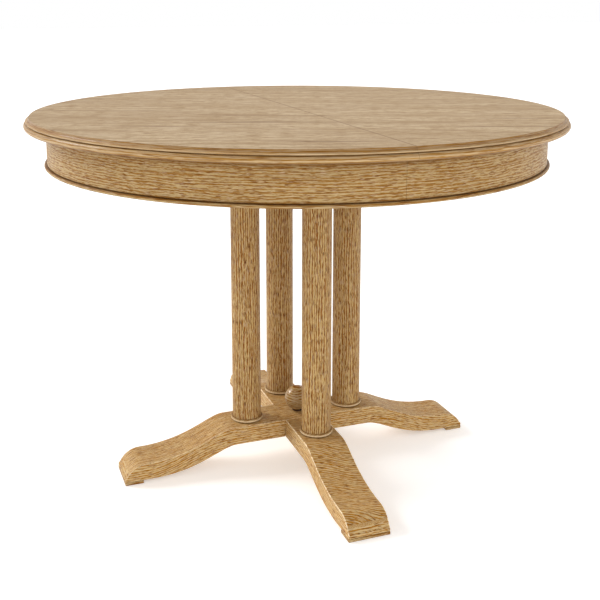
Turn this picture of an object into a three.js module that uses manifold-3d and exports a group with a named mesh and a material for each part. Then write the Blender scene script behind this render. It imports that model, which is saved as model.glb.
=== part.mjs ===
// Round pedestal dining table with an extending top.
//
// A four-column pedestal stands on a cross of two scrolled oak beams and carries a slide bed.
// The round top is two half tops. They slide apart along X on grooved rails, and two toothed
// racks and a pinion keep them level with each other about the pedestal.
//
// Units are millimetres, +Z is up, and the origin is on the floor under the middle of the top.
// The base beams lie along X and Y, and the line where the half tops meet lies along Y.

import * as THREE from "three";
import { mergeVertices } from "three/addons/utils/BufferGeometryUtils.js";
import Module from "manifold-3d";

const wasm = await Module();
wasm.setup();

// Driving dimensions

const TABLE_HEIGHT = 760;
const TOP_RADIUS = 541;
const EDGE_RADIUS = 552.5;
const PANEL_THICKNESS = 23;
const SEAM_GAP = 0.4;
const TOUCH_GAP = 0.3;
const ROUND_STEPS = 72;
const COVE_WIDTH = 6.5;
const COVE_HEIGHT = 7;
const TORUS_HALF = 6.2;
const TORUS_LEVEL = 743.5;

const APRON_RADIUS = 510.5;
const APRON_WALL = 18;
const APRON_BOTTOM = 667.5;
const BEAD_RADIUS = 516;
const BEAD_BOTTOM = 660;

const COLUMN_RADIUS = 30.6;
const COLUMN_DISTANCE = 116.5;
const COLUMN_TOP = 633;
const COLUMN_STEPS = 32;
const FOOT_RING_RADIUS = 34.6;
const FOOT_RING_HEIGHT = 8;

const ARM_REACH = 391.5;
const ARM_WIDTH = 85;
const ARM_TOP = 90;
const ARM_UNDERSIDE = 51;
const LAP_HEIGHT = 70.5;
const PAD_LENGTH = 38;
const PAD_HEIGHT = 6;

const BALL_RADIUS = 27;
const BALL_CENTRE = 118.5;

const BEARER_REACH = 225;
const BEARER_WIDTH = 80;
const BEARER_TOP = 668;
const BED_SIZE = 410;
const BED_TOP = 690;

const RAIL_DISTANCE = 150;
const FIXED_RAIL_WIDTH = 30;
const FIXED_RAIL_REACH = 340;
const FIXED_RAIL_TOP = 733;
const SLIDE_RAIL_WIDTH = 25;
const SLIDE_RAIL_BOTTOM = 693;
const SLIDE_RAIL_OUTER_END = 436;
const RAIL_SIDE_GAP = 0.6;
const GROOVE_HEIGHT = 12;
const GROOVE_DEPTH = 6;
const GROOVE_LEVEL = 712;
const TONGUE_CLEARANCE = 0.3;

const SLIDE_TRAVEL = 225;
const SLIDE_RAIL_INNER_END = -SLIDE_TRAVEL - 5;

const PIN_RADIUS = 4;
const PIN_LENGTH = 36;
const PIN_DISTANCE = 300;
const BED_SCREW_DISTANCE = 190;

const BOLT_SHANK = 4;
const BOLT_HOLE = 4.4;
const BOLT_TOP = 150;
const BOLT_SEAT = 65;
const COUNTERBORE = 12.5;
const SCREW_SHANK = 3;
const SCREW_HOLE = 3.4;
const SCREW_HEAD = 8;
const SCREW_POCKET = 8.5;
const SCREW_POCKET_DEPTH = 8;
const BED_SCREW_SHANK = 2.5;
const BED_SCREW_HOLE = 2.9;
const BED_SCREW_HEAD = 6;
const BED_SCREW_POCKET = 6.4;
const BED_SCREW_POCKET_DEPTH = 4;
const DOWEL_RADIUS = 5;
const DOWEL_HOLE = 5.3;
const DOWEL_BOTTOM = 62;
const DOWEL_TOP = 104;

const GEAR_MODULE = 3;
const PINION_TEETH = 20;
const PRESSURE_ANGLE = THREE.MathUtils.degToRad(20);
const BACKLASH = 0.3;
const GEAR_BOTTOM = 715;
const GEAR_HEIGHT = 12;
const RACK_BACK = 50;
const RACK_BAR_END = 180;
const TOOTH_PITCH = Math.PI * GEAR_MODULE;
const PITCH_RADIUS = (GEAR_MODULE * PINION_TEETH) / 2;
const RACK_TEETH_PAST_SEAM = Math.ceil((SLIDE_TRAVEL + PITCH_RADIUS) / TOOTH_PITCH);
const RACK_TEETH = RACK_TEETH_PAST_SEAM + 4;
const RACK_START = -RACK_TEETH_PAST_SEAM * TOOTH_PITCH;

const PANEL_BOTTOM = TABLE_HEIGHT - PANEL_THICKNESS;
const UNDER_PANEL = PANEL_BOTTOM - TOUCH_GAP;
const UNDER_OTHER_HALF = PANEL_BOTTOM - 1.8;
const PIN_LEVEL = TABLE_HEIGHT - PANEL_THICKNESS / 2;

// Materials

function material(color, roughness, metalness = 0) {
  return new THREE.MeshStandardMaterial({ color, roughness, metalness });
}

const finish = {
  topVeneer: () => material(0xbea88c, 0.45),
  edgeOak: () => material(0xac8854, 0.45),
  apronOak: () => material(0xae8c60, 0.5),
  baseOak: () => material(0xaf8a55, 0.45),
  railBeech: () => material(0xc9a77c, 0.6),
  collarWood: () => material(0x3f2a18, 0.6),
  steel: () => material(0x9a9c9e, 0.35, 1),
};

// Solids: each closed geometry becomes a manifold, is cut or joined, and turns back into a geometry

function solid(geometry) {
  const bare = geometry.index ? geometry.toNonIndexed() : geometry.clone();
  bare.deleteAttribute("normal");
  bare.deleteAttribute("uv");
  const merged = mergeVertices(bare, 1e-4);
  return new wasm.Manifold(
    new wasm.Mesh({
      numProp: 3,
      vertProperties: new Float32Array(merged.attributes.position.array),
      triVerts: new Uint32Array(merged.index.array),
    }),
  );
}

function geometryOf(shape) {
  const { vertProperties, triVerts } = shape.getMesh();
  const geometry = new THREE.BufferGeometry();
  geometry.setAttribute("position", new THREE.BufferAttribute(vertProperties, 3));
  geometry.setIndex(new THREE.BufferAttribute(triVerts, 1));
  geometry.computeVertexNormals();
  return geometry;
}

function node(name, shape, surface) {
  const mesh = new THREE.Mesh(geometryOf(shape), surface);
  mesh.name = name;
  return mesh;
}

function box(x0, x1, y0, y1, z0, z1) {
  const geometry = new THREE.BoxGeometry(x1 - x0, y1 - y0, z1 - z0);
  geometry.translate((x0 + x1) / 2, (y0 + y1) / 2, (z0 + z1) / 2);
  return solid(geometry);
}

// A solid turned about Z from an outline of [radius, height] points
function turned(outline, steps) {
  const points = outline.map(([radius, height]) => new THREE.Vector2(radius, height));
  const geometry = new THREE.LatheGeometry(points, steps);
  geometry.rotateX(Math.PI / 2);
  return solid(geometry);
}

function rod(radius, z0, z1, steps = 16) {
  return turned([[0, z0], [radius, z0], [radius, z1], [0, z1]], steps);
}

function hexagon(radius, z0, z1) {
  return rod(radius, z0, z1, 6);
}

// A flat outline in X and Y, raised from z0 to z1
function raised(shape, z0, z1) {
  const geometry = new THREE.ExtrudeGeometry(shape, { depth: z1 - z0, bevelEnabled: false });
  geometry.translate(0, 0, z0);
  return solid(geometry);
}

// Points of an arc about [radius, height], for a turned outline
function arc(radius, height, reach, rise, fromDegrees, toDegrees, count) {
  return Array.from({ length: count + 1 }, (_, step) => {
    const angle = THREE.MathUtils.degToRad(fromDegrees + ((toDegrees - fromDegrees) * step) / count);
    return [radius + reach * Math.cos(angle), height + rise * Math.sin(angle)];
  });
}

// Pedestal

function armOutline() {
  const shape = new THREE.Shape();
  const endFaceTop = 14.5;
  const undersideAtFoot = PAD_HEIGHT + TOUCH_GAP;
  shape.moveTo(0, ARM_UNDERSIDE);
  shape.lineTo(150, ARM_UNDERSIDE);
  shape.bezierCurveTo(190, ARM_UNDERSIDE, 230, undersideAtFoot, 335, undersideAtFoot);
  shape.lineTo(ARM_REACH, undersideAtFoot);
  shape.lineTo(ARM_REACH, endFaceTop - 1.5);
  shape.lineTo(ARM_REACH - 3, endFaceTop);
  shape.bezierCurveTo(382, 28, 368, 41.5, 347, 41.5);
  shape.bezierCurveTo(240, 41.5, 195, ARM_TOP, 160, ARM_TOP);
  shape.lineTo(0, ARM_TOP);
  shape.closePath();
  return shape;
}

// Both arms of one beam along X, before the cross lap is cut
function beamBlank() {
  const geometry = new THREE.ExtrudeGeometry(armOutline(), {
    depth: ARM_WIDTH,
    bevelEnabled: false,
    curveSegments: 10,
  });
  geometry.rotateX(Math.PI / 2);
  geometry.translate(0, ARM_WIDTH / 2, 0);
  const arm = solid(geometry);
  return arm.add(arm.rotate([0, 0, 180]));
}

function boltPassage() {
  const counterbore = rod(COUNTERBORE, ARM_UNDERSIDE - 1, BOLT_SEAT);
  return counterbore.add(rod(BOLT_HOLE, ARM_UNDERSIDE, ARM_TOP + 1));
}

function baseBeam(name, lapCut, dowelHole) {
  const halfLap = ARM_WIDTH / 2 + TOUCH_GAP;
  const [lapBottom, lapTop] = lapCut;
  let beam = beamBlank().subtract(box(-halfLap, halfLap, -halfLap, halfLap, lapBottom, lapTop));
  for (const side of [-1, 1]) {
    beam = beam.subtract(boltPassage().translate([side * COLUMN_DISTANCE, 0, 0]));
  }
  return node(name, beam.subtract(dowelHole), finish.baseOak());
}

function footPad(name) {
  const pad = box(-PAD_LENGTH / 2, PAD_LENGTH / 2, -ARM_WIDTH / 2, ARM_WIDTH / 2, 0, PAD_HEIGHT);
  return node(name, pad, finish.baseOak());
}

function column(name) {
  const bottom = ARM_TOP + TOUCH_GAP;
  const top = COLUMN_TOP - TOUCH_GAP;
  const boltHole = rod(BOLT_HOLE, bottom - 1, BOLT_TOP + 2.3);
  const screwHole = rod(SCREW_HOLE, top - 52, top + 1);
  const post = rod(COLUMN_RADIUS, bottom, top, COLUMN_STEPS).subtract(boltHole).subtract(screwHole);
  return node(name, post, finish.baseOak());
}

function footRing(name) {
  const inner = COLUMN_RADIUS + TOUCH_GAP;
  const bottom = ARM_TOP + TOUCH_GAP;
  const half = FOOT_RING_HEIGHT / 2;
  const outline = [
    [inner, bottom],
    ...arc(inner, bottom + half, FOOT_RING_RADIUS - inner, half, -80, 80, 4),
    [inner, bottom + FOOT_RING_HEIGHT],
    [inner, bottom],
  ];
  return node(name, turned(outline, 24), finish.baseOak());
}

// Flanged hexagon bolt that pulls a column down on its arm
function columnBolt(name) {
  const seat = BOLT_SEAT - TOUCH_GAP;
  const head = hexagon(8, seat - 8, seat - 1.5);
  const flange = rod(11, seat - 1.6, seat);
  const shank = rod(BOLT_SHANK, seat - 0.5, BOLT_TOP);
  return node(name, head.add(flange).add(shank), finish.steel());
}

function columnScrew(name) {
  const seat = BEARER_TOP - SCREW_POCKET_DEPTH + TOUCH_GAP;
  const head = rod(SCREW_HEAD, seat, seat + 4);
  const shank = rod(SCREW_SHANK, COLUMN_TOP - 50, seat + 1);
  return node(name, head.add(shank), finish.steel());
}

function bearer(name, lapCut) {
  const half = BEARER_WIDTH / 2;
  const lap = half + TOUCH_GAP;
  const [lapBottom, lapTop] = lapCut;
  let bar = box(-BEARER_REACH, BEARER_REACH, -half, half, COLUMN_TOP, BEARER_TOP);
  bar = bar.subtract(box(-lap, lap, -lap, lap, lapBottom, lapTop));
  for (const side of [-1, 1]) {
    const x = side * COLUMN_DISTANCE;
    const pocket = rod(SCREW_POCKET, BEARER_TOP - SCREW_POCKET_DEPTH, BEARER_TOP + 1);
    bar = bar.subtract(rod(SCREW_HOLE, COLUMN_TOP - 1, BEARER_TOP + 1).translate([x, 0, 0]));
    bar = bar.subtract(pocket.translate([x, 0, 0]));
    const screwHole = rod(BED_SCREW_HOLE, BEARER_TOP - 26, BEARER_TOP + 1, 12);
    bar = bar.subtract(screwHole.translate([side * BED_SCREW_DISTANCE, 0, 0]));
  }
  return node(name, bar, finish.baseOak());
}

function slideBed() {
  const half = BED_SIZE / 2;
  const corner = 45;
  const shape = new THREE.Shape();
  shape.moveTo(-half + corner, -half);
  shape.lineTo(half - corner, -half);
  shape.lineTo(half, -half + corner);
  shape.lineTo(half, half - corner);
  shape.lineTo(half - corner, half);
  shape.lineTo(-half + corner, half);
  shape.lineTo(-half, half - corner);
  shape.lineTo(-half, -half + corner);
  shape.closePath();
  let bed = raised(shape, BEARER_TOP + TOUCH_GAP, BED_TOP);
  const pocket = rod(BED_SCREW_POCKET, BED_TOP - BED_SCREW_POCKET_DEPTH, BED_TOP + 1, 12);
  const screwHole = rod(BED_SCREW_HOLE, BEARER_TOP - 1, BED_TOP + 1, 12).add(pocket);
  for (let quarter = 0; quarter < 4; quarter += 1) {
    const hole = screwHole.translate([BED_SCREW_DISTANCE, 0, 0]).rotate([0, 0, quarter * 90]);
    bed = bed.subtract(hole);
  }
  return node("slide_bed", bed, finish.railBeech());
}

function bedScrew(name) {
  const seat = BED_TOP - BED_SCREW_POCKET_DEPTH + TOUCH_GAP;
  const head = rod(BED_SCREW_HEAD, seat, seat + 3, 12);
  const shank = rod(BED_SCREW_SHANK, BEARER_TOP - 24, seat + 1, 12);
  return node(name, head.add(shank), finish.steel());
}

function fixedRail(name) {
  const half = FIXED_RAIL_WIDTH / 2;
  const reach = FIXED_RAIL_REACH;
  const lower = GROOVE_LEVEL - GROOVE_HEIGHT / 2;
  const upper = GROOVE_LEVEL + GROOVE_HEIGHT / 2;
  let rail = box(-reach, reach, -half, half, BED_TOP + TOUCH_GAP, FIXED_RAIL_TOP);
  rail = rail.subtract(box(-reach - 1, reach + 1, half - GROOVE_DEPTH, half + 1, lower, upper));
  rail = rail.subtract(box(-reach - 1, reach + 1, -half - 1, -half + GROOVE_DEPTH, lower, upper));
  return node(name, rail, finish.railBeech());
}

function pinionPost() {
  const outline = [
    [0, BED_TOP + TOUCH_GAP],
    [20, BED_TOP + TOUCH_GAP],
    [20, BED_TOP + 6],
    [10, BED_TOP + 9],
    [10, GEAR_BOTTOM - TOUCH_GAP],
    [5, GEAR_BOTTOM - TOUCH_GAP],
    [5, GEAR_BOTTOM + GEAR_HEIGHT + 3],
    [0, GEAR_BOTTOM + GEAR_HEIGHT + 3],
  ];
  return node("pinion_post", turned(outline, 32), finish.steel());
}

function involute(angle) {
  return Math.tan(angle) - angle;
}

// Outline of the pinion: involute flanks above the base circle, radial below it
function pinionShape() {
  const baseRadius = PITCH_RADIUS * Math.cos(PRESSURE_ANGLE);
  const tipRadius = PITCH_RADIUS + GEAR_MODULE;
  const rootRadius = PITCH_RADIUS - 1.25 * GEAR_MODULE;
  const halfTooth = Math.PI / (2 * PINION_TEETH) - BACKLASH / (2 * PITCH_RADIUS);
  const flank = [[rootRadius, halfTooth + involute(PRESSURE_ANGLE)]];
  const flankSteps = 3;
  for (let step = 0; step <= flankSteps; step += 1) {
    const radius = baseRadius + ((tipRadius - baseRadius) * step) / flankSteps;
    const pressure = Math.acos(Math.min(1, baseRadius / radius));
    flank.push([radius, halfTooth + involute(PRESSURE_ANGLE) - involute(pressure)]);
  }
  const points = [];
  for (let tooth = 0; tooth < PINION_TEETH; tooth += 1) {
    const middle = (2 * Math.PI * tooth) / PINION_TEETH;
    const rising = flank.map(([radius, offset]) => [radius, middle - offset]);
    const falling = flank.toReversed().map(([radius, offset]) => [radius, middle + offset]);
    for (const [radius, angle] of [...rising, ...falling]) {
      points.push(new THREE.Vector2(radius * Math.cos(angle), radius * Math.sin(angle)));
    }
  }
  return new THREE.Shape(points);
}

function pinion() {
  const wheel = raised(pinionShape(), GEAR_BOTTOM, GEAR_BOTTOM + GEAR_HEIGHT);
  const bore = rod(5.08, GEAR_BOTTOM - 1, GEAR_BOTTOM + GEAR_HEIGHT + 1, 32);
  return node("pinion", wheel.subtract(bore), finish.steel());
}

function ballFinial() {
  const ball = turned(
    [[0, BALL_CENTRE - BALL_RADIUS], ...arc(0, BALL_CENTRE, BALL_RADIUS, BALL_RADIUS, -80, 80, 10),
      [0, BALL_CENTRE + BALL_RADIUS]],
    24,
  );
  const hole = rod(DOWEL_HOLE, ARM_TOP - 10, DOWEL_TOP + TOUCH_GAP);
  return node("ball_finial", ball.subtract(hole), finish.baseOak());
}

function finialCollar() {
  const disc = rod(11, ARM_TOP + TOUCH_GAP, ARM_TOP + 1.7);
  const hole = rod(DOWEL_HOLE, ARM_TOP, ARM_TOP + 3);
  return node("finial_collar", disc.subtract(hole), finish.collarWood());
}

function finialDowel() {
  return node("finial_dowel", rod(DOWEL_RADIUS, DOWEL_BOTTOM, DOWEL_TOP), finish.railBeech());
}

function pedestal() {
  const group = new THREE.Group();
  const lapGap = TOUCH_GAP / 2;
  const dowelHole = rod(DOWEL_HOLE, DOWEL_BOTTOM - 2, ARM_TOP + 1);
  const bearerLap = (COLUMN_TOP + BEARER_TOP) / 2;

  group.add(baseBeam("base_beam_through", [ARM_UNDERSIDE - 1, LAP_HEIGHT + lapGap], dowelHole));
  const crossBeam = baseBeam("base_beam_cross", [LAP_HEIGHT - lapGap, ARM_TOP + 1], dowelHole);
  crossBeam.rotation.z = Math.PI / 2;
  group.add(crossBeam);

  group.add(bearer("top_bearer_through", [COLUMN_TOP - 1, bearerLap + lapGap]));
  const crossBearer = bearer("top_bearer_cross", [bearerLap - lapGap, BEARER_TOP + 1]);
  crossBearer.rotation.z = Math.PI / 2;
  group.add(crossBearer);

  for (let arm = 0; arm < 4; arm += 1) {
    const turn = new THREE.Group();
    turn.rotation.z = (arm * Math.PI) / 2;
    const label = arm + 1;
    const pad = footPad(`foot_pad_${label}`);
    pad.position.x = ARM_REACH - PAD_LENGTH / 2;
    turn.add(pad);
    const onArm = [
      column(`column_${label}`),
      footRing(`column_ring_${label}`),
      columnBolt(`column_bolt_${label}`),
      columnScrew(`column_screw_${label}`),
    ];
    for (const piece of onArm) {
      piece.position.x = COLUMN_DISTANCE;
      turn.add(piece);
    }
    const screw = bedScrew(`bed_screw_${label}`);
    screw.position.x = BED_SCREW_DISTANCE;
    turn.add(screw);
    group.add(turn);
  }

  for (const [name, side] of [["fixed_rail_front", -1], ["fixed_rail_back", 1]]) {
    const rail = fixedRail(name);
    rail.position.y = side * RAIL_DISTANCE;
    group.add(rail);
  }
  group.add(slideBed(), pinionPost(), pinion(), ballFinial(), finialCollar(), finialDowel());
  return group;
}

// Half tops: each is modelled on the +X side and turned into place

function halfOf(shape) {
  const reach = EDGE_RADIUS + 10;
  return shape.intersect(box(SEAM_GAP / 2, reach, -reach, reach, 0, TABLE_HEIGHT + 10));
}

function topPanel(name, pinHoleRadius) {
  let panel = halfOf(rod(TOP_RADIUS, PANEL_BOTTOM, TABLE_HEIGHT, ROUND_STEPS));
  const holeReach = PIN_LENGTH / 2 + 1;
  const pinHole = rod(pinHoleRadius, -holeReach, holeReach).rotate([0, 90, 0]);
  for (const side of [-1, 1]) {
    panel = panel.subtract(pinHole.translate([0, side * PIN_DISTANCE, PIN_LEVEL]));
  }
  return node(name, panel, finish.topVeneer());
}

// Lipping round the panel: a cove and its lip at the top, a quirk, and a half-round torus below
function edgeMoulding(name) {
  const inner = TOP_RADIUS + TOUCH_GAP;
  const lip = inner + COVE_WIDTH + 0.5;
  const quirk = inner + 4.2;
  const outline = [
    [inner, PANEL_BOTTOM + TOUCH_GAP],
    ...arc(EDGE_RADIUS - TORUS_HALF, TORUS_LEVEL, TORUS_HALF, TORUS_HALF, -90, 90, 5),
    [quirk, TORUS_LEVEL + TORUS_HALF],
    [quirk, TABLE_HEIGHT - COVE_HEIGHT - 1.4],
    [lip, TABLE_HEIGHT - COVE_HEIGHT - 1.4],
    [lip, TABLE_HEIGHT - COVE_HEIGHT],
    ...arc(inner + COVE_WIDTH, TABLE_HEIGHT, COVE_WIDTH, COVE_HEIGHT, -90, -180, 4),
    [inner, PANEL_BOTTOM + TOUCH_GAP],
  ];
  return node(name, halfOf(turned(outline, ROUND_STEPS)), finish.edgeOak());
}

function apron(name) {
  const inner = APRON_RADIUS - APRON_WALL;
  const outline = [
    [inner, APRON_BOTTOM],
    [APRON_RADIUS, APRON_BOTTOM],
    [APRON_RADIUS, UNDER_PANEL],
    [inner, UNDER_PANEL],
    [inner, APRON_BOTTOM],
  ];
  return node(name, halfOf(turned(outline, ROUND_STEPS)), finish.apronOak());
}

// Half-round bead under the apron, with a quirk between the two
function apronBead(name) {
  const inner = APRON_RADIUS - APRON_WALL + 4;
  const top = APRON_BOTTOM - TOUCH_GAP;
  const roundHalf = 3.1;
  const outline = [
    [inner, BEAD_BOTTOM],
    ...arc(BEAD_RADIUS - roundHalf, BEAD_BOTTOM + roundHalf, roundHalf, roundHalf, -90, 90, 4),
    [APRON_RADIUS - 2.5, BEAD_BOTTOM + 2 * roundHalf],
    [APRON_RADIUS - 2.5, top],
    [inner, top],
    [inner, BEAD_BOTTOM],
  ];
  return node(name, halfOf(turned(outline, ROUND_STEPS)), finish.edgeOak());
}

// Rail under one half top, with its tongue in the groove of the fixed rail. It runs on past the
// seam under the other half, where its top is lower, to stay in the groove when the top is open.
function slideRail(name, side, outside) {
  const towards = outside ? -1 : 1;
  const offset = FIXED_RAIL_WIDTH / 2 + RAIL_SIDE_GAP + SLIDE_RAIL_WIDTH / 2;
  const centre = RAIL_DISTANCE - towards * offset;
  const half = SLIDE_RAIL_WIDTH / 2;
  const tongueHalf = GROOVE_HEIGHT / 2 - TONGUE_CLEARANCE;
  const tongueEnd = half + RAIL_SIDE_GAP + GROOVE_DEPTH - TONGUE_CLEARANCE;
  const tongue = [Math.min(0, towards * tongueEnd), Math.max(0, towards * tongueEnd)];
  const [start, end] = [SLIDE_RAIL_INNER_END, SLIDE_RAIL_OUTER_END];
  let rail = box(start, end, -half, half, SLIDE_RAIL_BOTTOM, UNDER_PANEL);
  rail = rail.add(box(start, end, ...tongue, GROOVE_LEVEL - tongueHalf, GROOVE_LEVEL + tongueHalf));
  rail = rail.subtract(box(start - 1, 4, -half - 1, half + 1, UNDER_OTHER_HALF, PANEL_BOTTOM));
  if (side < 0) {
    rail = rail.mirror([0, 1, 0]);
  }
  const mesh = node(name, rail, finish.railBeech());
  mesh.position.y = side * centre;
  return mesh;
}

// Straight rack with its teeth towards the pinion, and a tooth space at x = 0
function rack(name) {
  const tip = PITCH_RADIUS - GEAR_MODULE;
  const root = PITCH_RADIUS + 1.25 * GEAR_MODULE;
  const slope = Math.tan(PRESSURE_ANGLE);
  const halfTooth = TOOTH_PITCH / 4 - BACKLASH / 2;
  const halfTip = halfTooth - GEAR_MODULE * slope;
  const halfRoot = halfTooth + 1.25 * GEAR_MODULE * slope;
  const points = [[RACK_START, root]];
  for (let tooth = 0; tooth < RACK_TEETH; tooth += 1) {
    const middle = RACK_START + (tooth + 0.5) * TOOTH_PITCH;
    points.push([middle - halfRoot, root]);
    points.push([middle - halfTip, tip]);
    points.push([middle + halfTip, tip]);
    points.push([middle + halfRoot, root]);
  }
  const end = RACK_START + RACK_TEETH * TOOTH_PITCH;
  points.push([end, root], [end, RACK_BACK], [RACK_START, RACK_BACK]);
  const shape = new THREE.Shape(points.map(([x, y]) => new THREE.Vector2(x, y)));
  return node(name, raised(shape, GEAR_BOTTOM - 0.5, GEAR_BOTTOM + GEAR_HEIGHT + 0.5), finish.steel());
}

// Wooden bar that hangs the rack under its half top
function rackBar(name) {
  const bottom = GEAR_BOTTOM + GEAR_HEIGHT + 0.5 + TOUCH_GAP;
  const bar = box(RACK_START, RACK_BAR_END, 35, RACK_BACK, bottom, UNDER_PANEL);
  const relief = box(RACK_START - 1, 4, 34, RACK_BACK + 1, UNDER_OTHER_HALF, PANEL_BOTTOM);
  return node(name, bar.subtract(relief), finish.railBeech());
}

function apronBlock(name, side) {
  const block = box(6, 46, -24, 24, 692, UNDER_PANEL);
  const mesh = node(name, block, finish.railBeech());
  mesh.position.y = side * 463;
  return mesh;
}

function alignmentPin(name, side) {
  const end = PIN_LENGTH / 2;
  const tip = PIN_RADIUS - 1.4;
  const taper = end - 3;
  const outline = [
    [0, -end],
    [tip, -end],
    [PIN_RADIUS, -taper],
    [PIN_RADIUS, taper],
    [tip, end],
    [0, end],
  ];
  const mesh = node(name, turned(outline, 16), finish.railBeech());
  mesh.rotation.y = Math.PI / 2;
  mesh.position.set(0, side * PIN_DISTANCE, PIN_LEVEL);
  return mesh;
}

function halfTop(label, holdsPins) {
  const group = new THREE.Group();
  group.add(
    topPanel(`top_panel_${label}`, PIN_RADIUS + (holdsPins ? 0.3 : 0.5)),
    edgeMoulding(`edge_moulding_${label}`),
    apron(`apron_${label}`),
    apronBead(`apron_bead_${label}`),
    slideRail(`slide_rail_${label}_a`, -1, holdsPins),
    slideRail(`slide_rail_${label}_b`, 1, holdsPins),
    rack(`rack_${label}`),
    rackBar(`rack_bar_${label}`),
    apronBlock(`apron_block_${label}_a`, -1),
    apronBlock(`apron_block_${label}_b`, 1),
  );
  if (holdsPins) {
    group.add(alignmentPin("alignment_pin_a", -1), alignmentPin("alignment_pin_b", 1));
  }
  return group;
}

const table = new THREE.Group();
table.add(pedestal());
table.add(halfTop("right", false));
const leftHalf = halfTop("left", true);
leftHalf.rotation.z = Math.PI;
table.add(leftHalf);

export default table;
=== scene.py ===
"""Looks for the round pedestal table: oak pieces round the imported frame, in metres, +Z up."""

import math

import bmesh
import bpy
from mathutils import Matrix, Vector


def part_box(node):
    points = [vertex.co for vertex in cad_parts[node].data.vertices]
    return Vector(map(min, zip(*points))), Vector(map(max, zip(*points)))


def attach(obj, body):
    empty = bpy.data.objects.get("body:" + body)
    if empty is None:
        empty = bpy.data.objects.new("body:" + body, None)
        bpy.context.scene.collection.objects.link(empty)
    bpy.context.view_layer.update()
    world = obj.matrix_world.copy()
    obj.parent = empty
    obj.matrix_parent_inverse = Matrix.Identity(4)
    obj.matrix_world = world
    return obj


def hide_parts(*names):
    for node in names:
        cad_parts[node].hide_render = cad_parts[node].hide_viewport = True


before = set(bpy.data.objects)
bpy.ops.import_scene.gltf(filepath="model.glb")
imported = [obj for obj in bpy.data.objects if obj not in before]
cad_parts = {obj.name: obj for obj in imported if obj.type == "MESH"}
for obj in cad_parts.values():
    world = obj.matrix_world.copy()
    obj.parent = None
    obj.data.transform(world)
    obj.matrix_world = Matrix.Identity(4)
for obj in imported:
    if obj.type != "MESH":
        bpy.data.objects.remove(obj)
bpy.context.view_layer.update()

# ---------------------------------------------------------------- sizes, from the frame

MM = 0.001
panel_low, panel_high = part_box("top_panel_right")
edge_low, edge_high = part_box("edge_moulding_right")
apron_low, apron_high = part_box("apron_right")
bead_low, bead_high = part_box("apron_bead_right")
column_low, column_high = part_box("column_1")
ring_low, ring_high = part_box("column_ring_1")
beam_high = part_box("base_beam_through")[1]
pad_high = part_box("foot_pad_1")[1]
ball_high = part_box("ball_finial")[1]

SEAM_HALF = panel_low.x
TABLE_HEIGHT = panel_high.z
TOP_RADIUS = panel_high.y
EDGE_RADIUS = edge_high.y
APRON_RADIUS = apron_high.y
BEAD_RADIUS = bead_high.y
COLUMN_RADIUS = column_high.y
COLUMN_DISTANCE = (column_low.x + column_high.x) / 2
RING_RADIUS = ring_high.y
ARM_REACH = beam_high.x
ARM_HALF_WIDTH = beam_high.y
ARM_TOP = beam_high.z
BALL_RADIUS = ball_high.y
BALL_CENTRE = ball_high.z - BALL_RADIUS

TOUCH_GAP = 0.3 * MM
COVE_WIDTH = 6.5 * MM
COVE_HEIGHT = 7 * MM
TORUS_HALF = 6.2 * MM
TORUS_LEVEL = TABLE_HEIGHT - 16.5 * MM
APRON_WALL = 18 * MM

# Edge moulding: the lip under the cove, and the quirk between lip and torus
LIP_OVERHANG = 0.5 * MM
LIP_THICKNESS = 1.4 * MM
QUIRK_FLOOR = 4.2 * MM

# Bead under the apron
BEAD_HALF = 3.1 * MM
BEAD_INSET = 4 * MM
BEAD_QUIRK = 2.5 * MM

# Side outline of one arm, from the middle of the table outwards
ARM_UNDERSIDE = 51 * MM
ARM_TOE_TOP = 41.5 * MM
ARM_FACE_TOP = 14.5 * MM
ARM_FACE_CHAMFER = 3 * MM
ARCH_START = 150 * MM
ARCH_END = 335 * MM
SWOOP_START = 160 * MM
SWOOP_END = 347 * MM

# How far out the handles of the arm's curves lie, and for the toe how high too
ARCH_HANDLES = (190 * MM, 230 * MM)
SWOOP_HANDLES = (240 * MM, 195 * MM)
TOE_HANDLES = ((382 * MM, 28 * MM), (368 * MM, ARM_TOE_TOP))

# Height where the two beams meet in their lap, and levels clear of both beams
LAP_HEIGHT = 70.5 * MM
BELOW_BEAMS = 40 * MM
ABOVE_BEAMS = 100 * MM

# The grain of the top runs this far round from +X
TOP_GRAIN_TURN = math.radians(-20.2)

# ---------------------------------------------------------------- node building


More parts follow.
